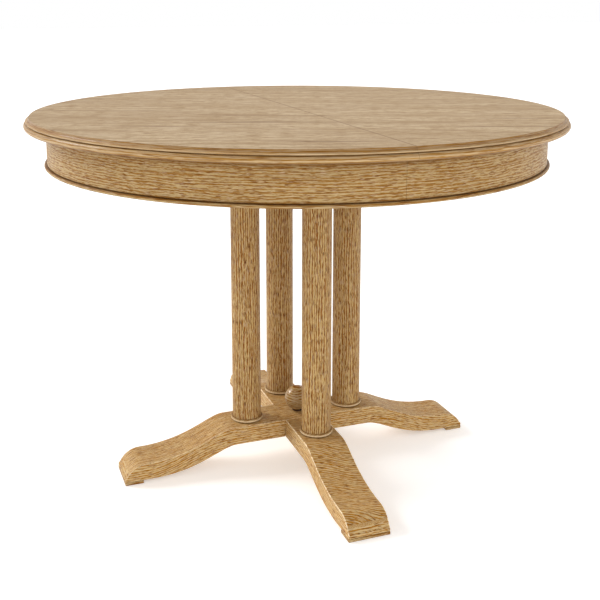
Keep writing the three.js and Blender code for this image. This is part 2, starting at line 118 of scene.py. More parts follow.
class Graph:
    """A material's nodes, made one at a time and joined by their outputs."""

    def __init__(self, name):
        self.material = bpy.data.materials.new(name)
        self.material.use_nodes = True
        self.tree = self.material.node_tree
        self.shader = self.tree.nodes["Principled BSDF"]

    def node(self, kind, **settings):
        made = self.tree.nodes.new(kind)
        for key, value in settings.items():
            setattr(made, key, value)
        return made

    def put(self, socket, value):
        if isinstance(value, bpy.types.NodeSocket):
            self.tree.links.new(value, socket)
        else:
            socket.default_value = value

    def math(self, operation, first, second=0.0, clamp=False):
        made = self.node("ShaderNodeMath", operation=operation, use_clamp=clamp)
        self.put(made.inputs[0], first)
        self.put(made.inputs[1], second)
        return made.outputs[0]

    def combine(self, x, y, z):
        made = self.node("ShaderNodeCombineXYZ")
        for socket, value in zip(made.inputs, (x, y, z)):
            self.put(socket, value)
        return made.outputs[0]

    def separate(self, vector):
        made = self.node("ShaderNodeSeparateXYZ")
        self.put(made.inputs[0], vector)
        return made.outputs[0], made.outputs[1], made.outputs[2]

    def stretch(self, vector, x, y, z):
        made = self.node("ShaderNodeVectorMath", operation="MULTIPLY")
        self.put(made.inputs[0], vector)
        self.put(made.inputs[1], (x, y, z))
        return made.outputs[0]

    def add(self, vector, other):
        made = self.node("ShaderNodeVectorMath", operation="ADD")
        self.put(made.inputs[0], vector)
        self.put(made.inputs[1], other)
        return made.outputs[0]

    def noise(self, vector, detail=2.0, roughness=0.5, distortion=0.0):
        made = self.node("ShaderNodeTexNoise")
        self.put(made.inputs["Vector"], vector)
        made.inputs["Scale"].default_value = 1.0
        made.inputs["Detail"].default_value = detail
        made.inputs["Roughness"].default_value = roughness
        made.inputs["Distortion"].default_value = distortion
        return made.outputs["Fac"]

    def ease(self, value, low, high, to_low=0.0, to_high=1.0):
        made = self.node("ShaderNodeMapRange", interpolation_type="SMOOTHSTEP")
        self.put(made.inputs["Value"], value)
        made.inputs["From Min"].default_value = low
        made.inputs["From Max"].default_value = high
        made.inputs["To Min"].default_value = to_low
        made.inputs["To Max"].default_value = to_high
        return made.outputs["Result"]

    def mix(self, factor, first, second, blend="MIX"):
        made = self.node("ShaderNodeMix", data_type="RGBA", blend_type=blend)
        self.put(made.inputs["Factor"], factor)
        self.put(made.inputs["A"], first)
        self.put(made.inputs["B"], second)
        return made.outputs["Result"]

    def choose(self, factor, first, second):
        made = self.node("ShaderNodeMix", data_type="VECTOR")
        self.put(made.inputs["Factor"], factor)
        self.put(made.inputs["A"], first)
        self.put(made.inputs["B"], second)
        return made.outputs["Result"]

    def bump(self, height, distance, strength=1.0, normal=None):
        made = self.node("ShaderNodeBump")
        made.inputs["Strength"].default_value = strength
        made.inputs["Distance"].default_value = distance
        self.put(made.inputs["Height"], height)
        if normal is not None:
            self.put(made.inputs["Normal"], normal)
        return made.outputs["Normal"]

    def position(self):
        return self.node("ShaderNodeTexCoord").outputs["Object"]


def colour(red, green, blue):
    """A colour given as it looks on screen, 0 to 255, turned into light values."""

    def linear(level):
        level /= 255
        return level / 12.92 if level <= 0.04045 else ((level + 0.055) / 1.055) ** 2.4

    return (linear(red), linear(green), linear(blue), 1.0)


# ---------------------------------------------------------------- which way the grain runs
# Each of these turns a point on the piece into (along, across, depth) in metres.


def grain_along_x(graph):
    return graph.position()


def grain_along_y(graph):
    x, y, z = graph.separate(graph.position())
    return graph.combine(y, x, z)


def grain_along_z(graph):
    x, y, z = graph.separate(graph.position())
    return graph.combine(z, x, y)


def grain_of_top(graph):
    x, y = graph.separate(graph.position())[:2]
    turn = TOP_GRAIN_TURN
    along = graph.math(
        "ADD",
        graph.math("MULTIPLY", x, math.cos(turn)),
        graph.math("MULTIPLY", y, math.sin(turn)),
    )
    across = graph.math(
        "SUBTRACT",
        graph.math("MULTIPLY", y, math.cos(turn)),
        graph.math("MULTIPLY", x, math.sin(turn)),
    )
    return graph.combine(along, across, 0.0)


def grain_of_ball(graph):
    """Level rings round the ball."""
    along = graph.separate(grain_of_top(graph))[0]
    z = graph.separate(graph.position())[2]
    return graph.combine(along, z, 0.0)


def grain_round(radius):
    """Grain that follows a ring about the middle of the table, starting at the back seam."""

    def space(graph):
        x, y, z = graph.separate(graph.position())
        angle = graph.math("ARCTAN2", x, graph.math("MULTIPLY", y, -1.0))
        out = graph.math(
            "SQRT",
            graph.math("ADD", graph.math("MULTIPLY", x, x), graph.math("MULTIPLY", y, y)),
        )
        return graph.combine(graph.math("MULTIPLY", angle, radius), z, out)

    return space


def facing(graph):
    """How far the surface faces along each axis, 0 to 1."""
    normal = graph.node("ShaderNodeNewGeometry").outputs["Normal"]
    return [graph.math("ABSOLUTE", part) for part in graph.separate(normal)]


def grain_of_column(centre):
    """Upright grain wrapped round a column, starting on its inner side."""
    outward = Vector((centre.x, centre.y, 0)).normalized()
    sideways = Vector((-outward.y, outward.x, 0))

    def dot(graph, vector):
        made = graph.node("ShaderNodeVectorMath", operation="DOT_PRODUCT")
        graph.put(made.inputs[0], graph.position())
        graph.put(made.inputs[1], tuple(vector))
        return made.outputs["Value"]

    def space(graph):
        z = graph.separate(graph.position())[2]
        out = graph.math("SUBTRACT", dot(graph, outward), COLUMN_DISTANCE)
        angle = graph.math("ARCTAN2", dot(graph, sideways), out)
        return graph.combine(z, graph.math("MULTIPLY", angle, COLUMN_RADIUS), 0.0)

    return space


def beam_height(graph, along, z):
    """Height with the swoop of the arms taken out, so that the grain of the sides follows it."""
    drop = ARM_TOP - ARM_TOE_TOP
    swoop = graph.ease(graph.math("ABSOLUTE", along), SWOOP_START, SWOOP_END, 0.0, drop)
    return graph.math("ADD", z, swoop)


def grain_through_beam(graph):
    """Along the beam on its top and sides, and level across its end faces."""
    x, y, z = graph.separate(graph.position())
    end, _, upward = facing(graph)
    on_end = graph.ease(end, 0.72, 0.8)
    on_top = graph.ease(upward, 0.4, 0.46)
    sides = graph.combine(x, beam_height(graph, x, z), 0.0)
    long_faces = graph.choose(on_top, sides, graph.combine(x, y, 0.0))
    return graph.choose(on_end, long_faces, graph.combine(y, z, 0.0))


def grain_cross_beam(graph):
    """Along the beam on its sides, level across its end faces, and across it on its upper face."""
    x, y, z = graph.separate(graph.position())
    _, end, upward = facing(graph)
    on_end = graph.ease(end, 0.72, 0.8)
    on_top = graph.ease(upward, 0.4, 0.46)
    wave = graph.math("MULTIPLY", graph.math("SINE", graph.math("MULTIPLY", x, 60)), 0.003)
    top = graph.add(grain_of_top(graph), graph.combine(0.0, wave, 0.0))
    sides = graph.combine(y, beam_height(graph, y, z), 0.0)
    long_faces = graph.choose(on_top, sides, top)
    return graph.choose(on_end, long_faces, graph.combine(x, z, 0.0))


# ---------------------------------------------------------------- oak

# Pale wood, brown strokes and the darkest strokes
SOLID_TONES = (colour(177, 149, 102), colour(137, 87, 0), colour(108, 58, 0))
# Painted light: the beams get lighter tones than the other oak, standing for the extra light on the
# tops of the arms
LIT_BEAM_TONES = (colour(200, 171, 119), colour(160, 103, 0), colour(108, 56, 0))
COLUMN_TONES = (colour(188, 157, 103), colour(130, 74, 0), colour(84, 38, 0))
EDGE_TONES = (colour(190, 160, 116), colour(158, 108, 16), colour(118, 70, 0))
FLECK = colour(204, 182, 152)
# Painted highlight: the pale colour of the highlights along edges and rings
ARRIS_HIGHLIGHT = colour(252, 232, 196)
# Painted shade: the brown of the dark lines in grooves, under overhangs and where parts meet
SHADE_BROWN = colour(104, 64, 12)

# The greyer veneer of the top
VENEER_PALE = colour(190, 167, 134)
VENEER_DARK = colour(173, 148, 114)
VENEER_STREAK = colour(144, 114, 76)
VENEER_FLECK = colour(205, 185, 158)
VENEER_LINE = colour(108, 76, 44)

# Long lines of the grain lie this far apart, and wander sideways by this many radians
LINE_PITCH = 5 * MM
LINE_SWAY = 16


def beam_arris_highlight(cross, highlight_strength):
    """Painted highlight: a pale line along the upper edges of a beam, broken by the grain."""

    def mask(graph):
        x, y = graph.separate(graph.position())[:2]
        across = graph.math("ABSOLUTE", x if cross else y)
        near = graph.ease(across, ARM_HALF_WIDTH - 2.2 * MM, ARM_HALF_WIDTH - 1.4 * MM, 0.0, highlight_strength)
        upward = graph.ease(facing(graph)[2], 0.3, 0.5)
        dotting = graph.noise(graph.stretch(graph.position(), 260, 260, 260), detail=2)
        broken = graph.ease(dotting, 0.42, 0.54, 0.2, 1.0)
        return graph.math("MULTIPLY", near, graph.math("MULTIPLY", upward, broken))

    return mask


def ring_arris_highlight(height, spread, highlight_strength=0.6):
    """Painted highlight: a pale line at one height of a ring."""

    def mask(graph):
        level = graph.separate(graph.position())[2]
        near = graph.math("ABSOLUTE", graph.math("SUBTRACT", level, height))
        return graph.ease(near, 0.0, spread, highlight_strength, 0.0)

    return mask


def brown_strokes(graph, grain, contrast):
    """Wavy lines at an even pitch, broken up by longer lines and short dashes."""
    sway = graph.noise(graph.stretch(grain, 9, 55, 55), detail=2)
    across = graph.separate(grain)[1]
    turns = graph.math("MULTIPLY", across, 2 * math.pi / LINE_PITCH)
    phase = graph.math("ADD", turns, graph.math("MULTIPLY", sway, LINE_SWAY))
    regular = graph.math("MULTIPLY", graph.math("SINE", phase), 0.085)
    lines = graph.noise(graph.stretch(grain, 8, 540, 540), detail=2, distortion=0.2)
    dashes = graph.noise(graph.stretch(grain, 95, 800, 800), detail=1, distortion=0.2)
    uneven = graph.math("MULTIPLY", graph.math("ADD", lines, dashes), 0.42)
    return graph.ease(graph.math("ADD", regular, uneven), 0.4, 0.48, 0.0, 0.92 * contrast)


def painted_shade_lines(graph, tint, shade_lines):
    """Painted shade: dark lines in grooves, under overhangs and where two shapes meet, each given as
    (height, half width, depth).
    """
    for height, spread, depth in shade_lines:
        level = graph.separate(graph.position())[2]
        near = graph.math("ABSOLUTE", graph.math("SUBTRACT", level, height))
        tint = graph.mix(graph.ease(near, 0.2 * spread, spread, depth, 0.0), tint, SHADE_BROWN)
    return tint


def oak(name, space, tones, seed=0.0, contrast=1.0, length=1.0, gloss=0.03, shade_lines=(), arris_highlight=None):
    """Open-pored oak: long wavy lines and short strokes between pale fibres, and pores that dip."""
    graph = Graph(name)
    pale, brown, dark = tones
    grain = graph.add(space(graph), (seed * 3.7, seed * 1.3, seed * 2.1))
    grain = graph.stretch(grain, 1 / length, 1, 1)

    patches = graph.noise(graph.stretch(grain, 4, 18, 18), detail=3, distortion=0.4)
    shade = graph.ease(patches, 0.3, 0.7, 0.94, 1.04)
    tint = graph.mix(1.0, pale, graph.combine(shade, shade, shade), "MULTIPLY")

    brown_mask = brown_strokes(graph, grain, contrast)
    tint = graph.mix(brown_mask, tint, brown)
    elsewhere = graph.add(grain, (0.31, 0.17, 0.23))
    deep = graph.noise(graph.stretch(elsewhere, 60, 700, 700), detail=1, distortion=0.2)
    deep_mask = graph.ease(deep, 0.56, 0.64, 0.0, 0.85 * contrast)
    tint = graph.mix(deep_mask, tint, dark)
    elsewhere = graph.add(grain, (0.73, 0.41, 0.57))
    flecks = graph.noise(graph.stretch(elsewhere, 60, 760, 760), detail=2)
    tint = graph.mix(graph.ease(flecks, 0.56, 0.7, 0.0, 0.6 * contrast), tint, FLECK)

    pores = graph.noise(graph.stretch(grain, 170, 2600, 2600), detail=1)
    pore_mask = graph.ease(pores, 0.6, 0.72)
    tint = graph.mix(graph.math("MULTIPLY", pore_mask, 0.35 * contrast), tint, dark)

    # Painted shade: darker lines at the given heights
    tint = painted_shade_lines(graph, tint, shade_lines)
    # Painted highlight: a pale colour where the highlight mask says
    if arris_highlight:
        tint = graph.mix(arris_highlight(graph), tint, ARRIS_HIGHLIGHT)

    graph.put(graph.shader.inputs["Base Color"], tint)
    handled = graph.noise(graph.stretch(grain, 9, 9, 9), detail=3)
    polish = graph.ease(handled, 0.3, 0.7, 0.42, 0.5)
    graph.put(
        graph.shader.inputs["Roughness"],
        graph.math("ADD", polish, graph.math("MULTIPLY", pore_mask, 0.16)),
    )
    graph.shader.inputs["Specular IOR Level"].default_value = 0.1
    graph.shader.inputs["Coat Weight"].default_value = gloss
    graph.shader.inputs["Coat Roughness"].default_value = 0.16
    dips = graph.math("MULTIPLY", graph.math("ADD", pore_mask, brown_mask), -1.0)
    fibres = graph.noise(graph.stretch(grain, 60, 1500, 1500), detail=2)
    soft = graph.bump(fibres, 0.00012, 0.5)
    graph.put(graph.shader.inputs["Normal"], graph.bump(dips, 0.00025, 0.7, soft))
    return graph.material


def veneer(name):
    """The greyish veneer of the top: long fine streaks, a few darker ones, and a dark seam."""
    graph = Graph(name)
    grain = grain_of_top(graph)
    sway = graph.noise(graph.stretch(grain, 2.2, 2.2, 2.2), detail=1)
    bend = graph.math("MULTIPLY", graph.math("SUBTRACT", sway, 0.5), 0.05)
    grain = graph.add(grain, graph.combine(0.0, bend, 0.0))
    bands = graph.noise(graph.stretch(grain, 1.3, 13, 13), detail=3, distortion=0.4)
    tint = graph.mix(graph.ease(bands, 0.36, 0.64), VENEER_DARK, VENEER_PALE)
    long_streaks = graph.noise(graph.stretch(grain, 3.2, 62, 62), detail=3, distortion=0.5)
    tint = graph.mix(graph.ease(long_streaks, 0.5, 0.64, 0.0, 0.6), tint, VENEER_STREAK)
    fine = graph.noise(graph.stretch(grain, 34, 260, 260), detail=3, roughness=0.7)
    tint = graph.mix(graph.ease(fine, 0.47, 0.6, 0.0, 1.0), tint, VENEER_STREAK)
    pale = graph.noise(graph.stretch(graph.add(grain, (0.4, 0.6, 0.0)), 9, 210, 210), detail=2)
    tint = graph.mix(graph.ease(pale, 0.53, 0.7, 0.0, 0.55), tint, VENEER_FLECK)
    rare = graph.noise(graph.stretch(graph.add(grain, (0.9, 0.2, 0.0)), 1.7, 34, 34), detail=3)
    tint = graph.mix(graph.ease(rare, 0.6, 0.7, 0.0, 0.6), tint, VENEER_LINE)
    pores = graph.noise(graph.stretch(grain, 90, 2600, 2600), detail=1)
    pore_mask = graph.ease(pores, 0.6, 0.72)
    tint = graph.mix(graph.math("MULTIPLY", pore_mask, 0.35), tint, VENEER_LINE)
    from_seam = graph.math("ABSOLUTE", graph.separate(graph.position())[0])
    tint = graph.mix(graph.ease(from_seam, 0.6 * MM, 2.4 * MM, 0.65, 0.0), tint, VENEER_LINE)
    graph.put(graph.shader.inputs["Base Color"], tint)
    handled = graph.noise(graph.stretch(grain, 5, 7, 7), detail=3)
    gloss = graph.ease(handled, 0.3, 0.7, 0.58, 0.63)
    graph.put(
        graph.shader.inputs["Roughness"],
        graph.math("ADD", gloss, graph.math("MULTIPLY", pore_mask, 0.12)),
    )
    graph.shader.inputs["Specular IOR Level"].default_value = 0.14
    fibres = graph.noise(graph.stretch(grain, 40, 1500, 1500), detail=2)
    soft = graph.bump(fibres, 0.00008, 0.4)
    dips = graph.math("MULTIPLY", pore_mask, -1.0)
    graph.put(graph.shader.inputs["Normal"], graph.bump(dips, 0.00012, 0.5, soft))
    return graph.material


def beech(name, space, seed=0.0):
    """Plain planed beech of the hidden slides: close grain with small darker flecks."""
    graph = Graph(name)
    grain = graph.add(space(graph), (seed, seed * 0.7, seed * 1.9))
    bands = graph.noise(graph.stretch(grain, 3, 60, 60), detail=3, distortion=0.5)
    tint = graph.mix(graph.ease(bands, 0.3, 0.7), colour(196, 160, 114), colour(212, 180, 136))
    flecks = graph.noise(graph.stretch(grain, 260, 1300, 1300), detail=2)
    fleck_mask = graph.ease(flecks, 0.6, 0.7, 0.0, 0.55)
    tint = graph.mix(fleck_mask, tint, colour(158, 116, 74))
    graph.put(graph.shader.inputs["Base Color"], tint)
    graph.put(graph.shader.inputs["Roughness"], graph.ease(bands, 0.3, 0.7, 0.52, 0.64))
    saw_marks = graph.noise(graph.stretch(grain, 900, 40, 40), detail=1)
    graph.put(graph.shader.inputs["Normal"], graph.bump(saw_marks, 0.0001, 0.4))
    return graph.material


# Painted shade: a dark colour for the collar under the ball, standing for the shadow in the gap there
def collar_shade_wood(name):
    graph = Graph(name)
    streaks = graph.noise(graph.stretch(graph.position(), 60, 600, 600), detail=3)
    tint = graph.mix(streaks, colour(46, 29, 17), colour(78, 52, 32))
    graph.put(graph.shader.inputs["Base Color"], tint)
    graph.put(graph.shader.inputs["Roughness"], graph.ease(streaks, 0.3, 0.7, 0.5, 0.66))
    graph.put(graph.shader.inputs["Normal"], graph.bump(streaks, 0.0002, 0.5))
    return graph.material


def zinc_steel(name):
    graph = Graph(name)
    clouds = graph.noise(graph.stretch(graph.position(), 160, 160, 160), detail=4)
    tint = graph.mix(clouds, colour(142, 144, 146), colour(188, 190, 190))
    scratches = graph.noise(graph.stretch(graph.position(), 2400, 300, 300), detail=2)
    graph.put(graph.shader.inputs["Base Color"], tint)
    graph.shader.inputs["Metallic"].default_value = 1.0
    graph.put(graph.shader.inputs["Roughness"], graph.ease(clouds, 0.3, 0.7, 0.28, 0.48))
    graph.put(graph.shader.inputs["Normal"], graph.bump(scratches, 0.00005, 0.5))
    return graph.material


def floor_paper(name):
    graph = Graph(name)
    fibre = graph.noise(graph.stretch(graph.position(), 3, 3, 3), detail=3)
    tint = graph.mix(fibre, colour(243, 243, 243), colour(246, 246, 246))
    graph.put(graph.shader.inputs["Base Color"], tint)
    graph.shader.inputs["Roughness"].default_value = 0.9
    graph.shader.inputs["Specular IOR Level"].default_value = 0.1
    graph.put(graph.shader.inputs["Emission Color"], tint)
    graph.shader.inputs["Emission Strength"].default_value = 0.36
    return graph.material


# ---------------------------------------------------------------- mesh building


def finish_mesh(piece, bevel=0.0, segments=2, smooth_degrees=35):
    """Smooth shading up to an angle, and a small round on every sharp edge."""
    for polygon in piece.data.polygons:
        polygon.use_smooth = True
    piece.data.set_sharp_from_angle(angle=math.radians(smooth_degrees))
    if bevel:
        modifier = piece.modifiers.new("edges", "BEVEL")
        modifier.width = bevel
        modifier.segments = segments
        modifier.limit_method = "ANGLE"
        modifier.angle_limit = math.radians(smooth_degrees)
        modifier.harden_normals = True
        modifier.miter_outer = "MITER_ARC"


def piece_from(name, vertices, faces, material, body, slot, *nodes):
    """A new mesh that rides on a body in place of the CAD nodes."""
    mesh = bpy.data.meshes.new(name)
    mesh.from_pydata([tuple(v) for v in vertices], [], faces)
    mesh.validate()
    mesh.materials.append(material)
    piece = bpy.data.objects.new(name, mesh)
    bpy.context.scene.collection.objects.link(piece)
    fix = bmesh.new()
    fix.from_mesh(mesh)
    bmesh.ops.remove_doubles(fix, verts=fix.verts, dist=1e-7)
    bmesh.ops.recalc_face_normals(fix, faces=fix.faces)
    fix.to_mesh(mesh)
    fix.free()
    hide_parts(*nodes)
    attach(piece, body)
    return piece


def arc(radius, height, reach, rise, from_degrees, to_degrees, count):
    points = []
    for step in range(count + 1):
        angle = math.radians(from_degrees + (to_degrees - from_degrees) * step / count)
        points.append((radius + reach * math.cos(angle), height + rise * math.sin(angle)))
    return points


def curve(start, first, second, end, count):
    """Points of a cubic curve between two ends, with its two handles."""
    points = []
    for step in range(count + 1):
        t = step / count
        points.append(
            tuple(
                (1 - t) ** 3 * a + 3 * (1 - t) ** 2 * t * b + 3 * (1 - t) * t * t * c + t**3 * d
                for a, b, c, d in zip(start, first, second, end)
            )
        )
    return points


def half_ring(outline, side, steps=160):
    """An outline of (radius, height) points swept round the half of the table where x has this sign."""
    count = len(outline)
    vertices = []
    for step in range(steps + 1):
        angle = math.pi * (step / steps - 0.5)
        for radius, height in outline:
            x = max(radius * math.cos(angle), SEAM_HALF)
            vertices.append((side * x, side * radius * math.sin(angle), height))
    faces = []
    for step in range(steps):
        for point in range(count):
            following = (point + 1) % count
            low, high = step * count, (step + 1) * count
            faces.append((low + point, low + following, high + following, high + point))
    faces.append(tuple(range(count)))
    faces.append(tuple(steps * count + point for point in reversed(range(count))))
    return vertices, faces


def half_disc(radius, low, high, side, steps=160):
    """A half round board, with its flat faces in one piece each."""
    rim = []
    for step in range(steps + 1):
        angle = math.pi * (step / steps - 0.5)
        x = max(radius * math.cos(angle), SEAM_HALF)
        rim.append((side * x, side * radius * math.sin(angle)))
    count = len(rim)
    vertices = [(x, y, low) for x, y in rim] + [(x, y, high) for x, y in rim]
    faces = [tuple(reversed(range(count))), tuple(range(count, 2 * count))]
    for point in range(count):
        following = (point + 1) % count
        faces.append((point, following, count + following, count + point))
    return vertices, faces


def turned(outline, centre_x, centre_y, steps=72, closed=False):
    """An outline of (radius, height) points turned about an upright line."""
    count = len(outline)
    vertices = []
    for step in range(steps):
        angle = 2 * math.pi * step / steps
        for radius, height in outline:
            x = centre_x + radius * math.cos(angle)
            y = centre_y + radius * math.sin(angle)
            vertices.append((x, y, height))
    faces = []
    for step in range(steps):
        low, high = step * count, ((step + 1) % steps) * count
        for point in range(count if closed else count - 1):
            following = (point + 1) % count
            faces.append((low + point, high + point, high + following, low + following))
    return vertices, faces


def extruded(outline, half_width, quarter_turns):
    """An outline of (along, height) points made as wide as a beam and turned about Z."""
    turn = Matrix.Rotation(math.pi / 2 * quarter_turns, 4, "Z")
    count = len(outline)
    vertices = [turn @ Vector((along, -half_width, height)) for along, height in outline]
    vertices += [turn @ Vector((along, half_width, height)) for along, height in outline]
    faces = [tuple(range(count)), tuple(reversed(range(count, 2 * count)))]
    for point in range(count):
        following = (point + 1) % count
        faces.append((point, count + point, count + following, following))
    return vertices, faces


# ---------------------------------------------------------------- half tops


def moulding_outline():
    inner = TOP_RADIUS + TOUCH_GAP
    lip = inner + COVE_WIDTH + LIP_OVERHANG
    quirk = inner + QUIRK_FLOOR
    cove_foot = TABLE_HEIGHT - COVE_HEIGHT
    lip_foot = cove_foot - LIP_THICKNESS
    low = edge_low.z
    outline = [(inner, low)]
    outline += arc(EDGE_RADIUS - TORUS_HALF, TORUS_LEVEL, TORUS_HALF, TORUS_HALF, -90, 90, 14)
    outline += [(quirk, TORUS_LEVEL + TORUS_HALF), (quirk, lip_foot)]
    outline += [(lip, lip_foot), (lip, cove_foot)]
    outline += arc(inner + COVE_WIDTH, TABLE_HEIGHT, COVE_WIDTH, COVE_HEIGHT, -90, -180, 10)
    return outline


def bead_outline():
    inner = APRON_RADIUS - APRON_WALL + BEAD_INSET
    quirk = APRON_RADIUS - BEAD_QUIRK
    half = BEAD_HALF
    outline = [(inner, bead_low.z)]
    outline += arc(BEAD_RADIUS - half, bead_low.z + half, half, half, -90, 90, 12)
    outline += [(quirk, bead_low.z + 2 * half)]
    outline += [(quirk, bead_high.z), (inner, bead_high.z)]
    return outline


def apron_outline():
    inner = APRON_RADIUS - APRON_WALL
    low, high = apron_low.z, apron_high.z
    return [(inner, low), (APRON_RADIUS, low), (APRON_RADIUS, high), (inner, high)]


def make_half_top(label, side):
    body = f"top_{label}"
    edge_oak = oak(
        f"edge_oak_{label}",
        grain_round(EDGE_RADIUS),
        EDGE_TONES,
        seed=1.0,
        contrast=0.85,
        length=2.5,
        gloss=0.15,
        # Painted shade: darker in the quirk under the lip, on the torus's upper face and underside, in
        # the cove and at the top's edge
        shade_lines=(
            (TORUS_LEVEL + TORUS_HALF + 1.0 * MM, 1.8 * MM, 0.75),
            (TORUS_LEVEL + TORUS_HALF / 2, 3.6 * MM, 0.3),
            (TORUS_LEVEL - TORUS_HALF, 4.2 * MM, 0.8),
            (TABLE_HEIGHT - COVE_HEIGHT / 2, 4.0 * MM, 0.5),
            (TABLE_HEIGHT, 1.6 * MM, 0.5),
        ),
        # Painted highlight: a pale line along the lip under the cove
        arris_highlight=ring_arris_highlight(TABLE_HEIGHT - COVE_HEIGHT, 1.5 * MM, 0.15),
    )
    apron_oak = oak(
        f"apron_oak_{label}",
        grain_round(APRON_RADIUS),
        SOLID_TONES,
        seed=2.0,
        contrast=0.88,
        # Painted shade: darker under the torus's overhang, fading down the apron's top, and a dark line
        # at its foot above the bead
        shade_lines=((apron_high.z, 15 * MM, 0.7), (apron_low.z, 1.8 * MM, 0.8)),
    )
    bead_oak = oak(
        f"bead_oak_{label}",
        grain_round(BEAD_RADIUS),
        SOLID_TONES,
        seed=4.0,
        contrast=0.9,
        length=2.0,
        # Painted shade: a dark line in the quirk above the bead and another under it
        shade_lines=((bead_low.z + 7.2 * MM, 2.2 * MM, 0.9), (bead_low.z, 1.6 * MM, 0.5)),
    )
    panel = half_disc(TOP_RADIUS, panel_low.z, TABLE_HEIGHT, side)
    moulding = half_ring(moulding_outline(), side)
    parts = (
        ("top_panel", panel, veneer(f"veneer_{label}"), "top_veneer", 0.3),
        ("edge_moulding", moulding, edge_oak, "edge_oak", 0.3),
        ("apron", half_ring(apron_outline(), side), apron_oak, "apron_oak", 0.3),
        ("apron_bead", half_ring(bead_outline(), side), bead_oak, "edge_oak", 0.25),
    )
    for stem, (vertices, faces), material, slot, bevel in parts:
        node = f"{stem}_{label}"
        piece = piece_from(f"{node}_look", vertices, faces, material, body, slot, node)
        finish_mesh(piece, bevel * MM)


# ---------------------------------------------------------------- pedestal


def beam_outline():
    foot_under = pad_high.z + TOUCH_GAP
    arch = [(ARCH_START, ARM_UNDERSIDE), (ARCH_HANDLES[0], ARM_UNDERSIDE)]
    arch += [(ARCH_HANDLES[1], foot_under), (ARCH_END, foot_under)]
    toe = [(ARM_REACH - ARM_FACE_CHAMFER, ARM_FACE_TOP), *TOE_HANDLES]
    toe += [(SWOOP_END, ARM_TOE_TOP)]
    swoop = [(SWOOP_END, ARM_TOE_TOP), (SWOOP_HANDLES[0], ARM_TOE_TOP)]
    swoop += [(SWOOP_HANDLES[1], ARM_TOP), (SWOOP_START, ARM_TOP)]
    arm = [(0.0, ARM_UNDERSIDE)] + curve(*arch, 24)
    arm += [(ARM_REACH, foot_under), (ARM_REACH, ARM_FACE_TOP - 1.5 * MM)]
    arm += curve(*toe, 12) + curve(*swoop, 24)[1:]
    other = [(-along, height) for along, height in reversed(arm)]
    return other[:-1] + arm


def cut_box(piece, low, high):
    """Takes a box out of a piece."""
    cutter_mesh = bpy.data.meshes.new("cutter")
    shape = bmesh.new()
    bmesh.ops.create_cube(shape, size=1.0)
    size = Vector(high) - Vector(low)
    centre = (Vector(high) + Vector(low)) / 2
    bmesh.ops.transform(
        shape,
        matrix=Matrix.Translation(centre) @ Matrix.Diagonal((*size, 1.0)),
        verts=shape.verts,
    )
    shape.to_mesh(cutter_mesh)
    shape.free()
    cutter = bpy.data.objects.new("cutter", cutter_mesh)
    bpy.context.scene.collection.objects.link(cutter)
    modifier = piece.modifiers.new("cut", "BOOLEAN")
    modifier.operation = "DIFFERENCE"
    modifier.solver = "EXACT"
    modifier.object = cutter
    with bpy.context.temp_override(object=piece, active_object=piece, selected_objects=[piece]):
        bpy.ops.object.modifier_apply(modifier="cut")
    bpy.data.objects.remove(cutter)


def make_beams():
    lap = ARM_HALF_WIDTH + TOUCH_GAP
    # Painted highlight along the upper edges of both beams, stronger on the cross beam
    through_oak = oak(
        "through_beam_oak", grain_through_beam, LIT_BEAM_TONES, seed=5.0, arris_highlight=beam_arris_highlight(False, 0.45)
    )
    cross_oak = oak(
        "cross_beam_oak", grain_cross_beam, LIT_BEAM_TONES, seed=6.0, arris_highlight=beam_arris_highlight(True, 1.0)
    )
    beams = (
        ("base_beam_through", 0, through_oak, (BELOW_BEAMS, LAP_HEIGHT)),
        ("base_beam_cross", 1, cross_oak, (LAP_HEIGHT, ABOVE_BEAMS)),
    )
    for node, turns, material, (low, high) in beams:
        vertices, faces = extruded(beam_outline(), ARM_HALF_WIDTH, turns)
        piece = piece_from(f"{node}_look", vertices, faces, material, "pedestal", "base_oak", node)
        cut_box(piece, (-lap, -lap, low), (lap, lap, high))
        finish_mesh(piece, 1.8 * MM, 3)


def make_pads():
    pad_oak = oak("pad_oak", grain_along_x, SOLID_TONES, seed=7.0)
    for number in range(1, 5):
        node = f"foot_pad_{number}"
        low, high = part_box(node)
        corners = [(low.x, low.y), (high.x, low.y), (high.x, high.y), (low.x, high.y)]
        vertices = [(x, y, low.z) for x, y in corners] + [(x, y, high.z) for x, y in corners]
        faces = [(3, 2, 1, 0), (4, 5, 6, 7)]
        faces += [(i, (i + 1) % 4, 4 + (i + 1) % 4, 4 + i) for i in range(4)]
        piece = piece_from(f"{node}_look", vertices, faces, pad_oak, "pedestal", "base_oak", node)
        finish_mesh(piece, 0.8 * MM)


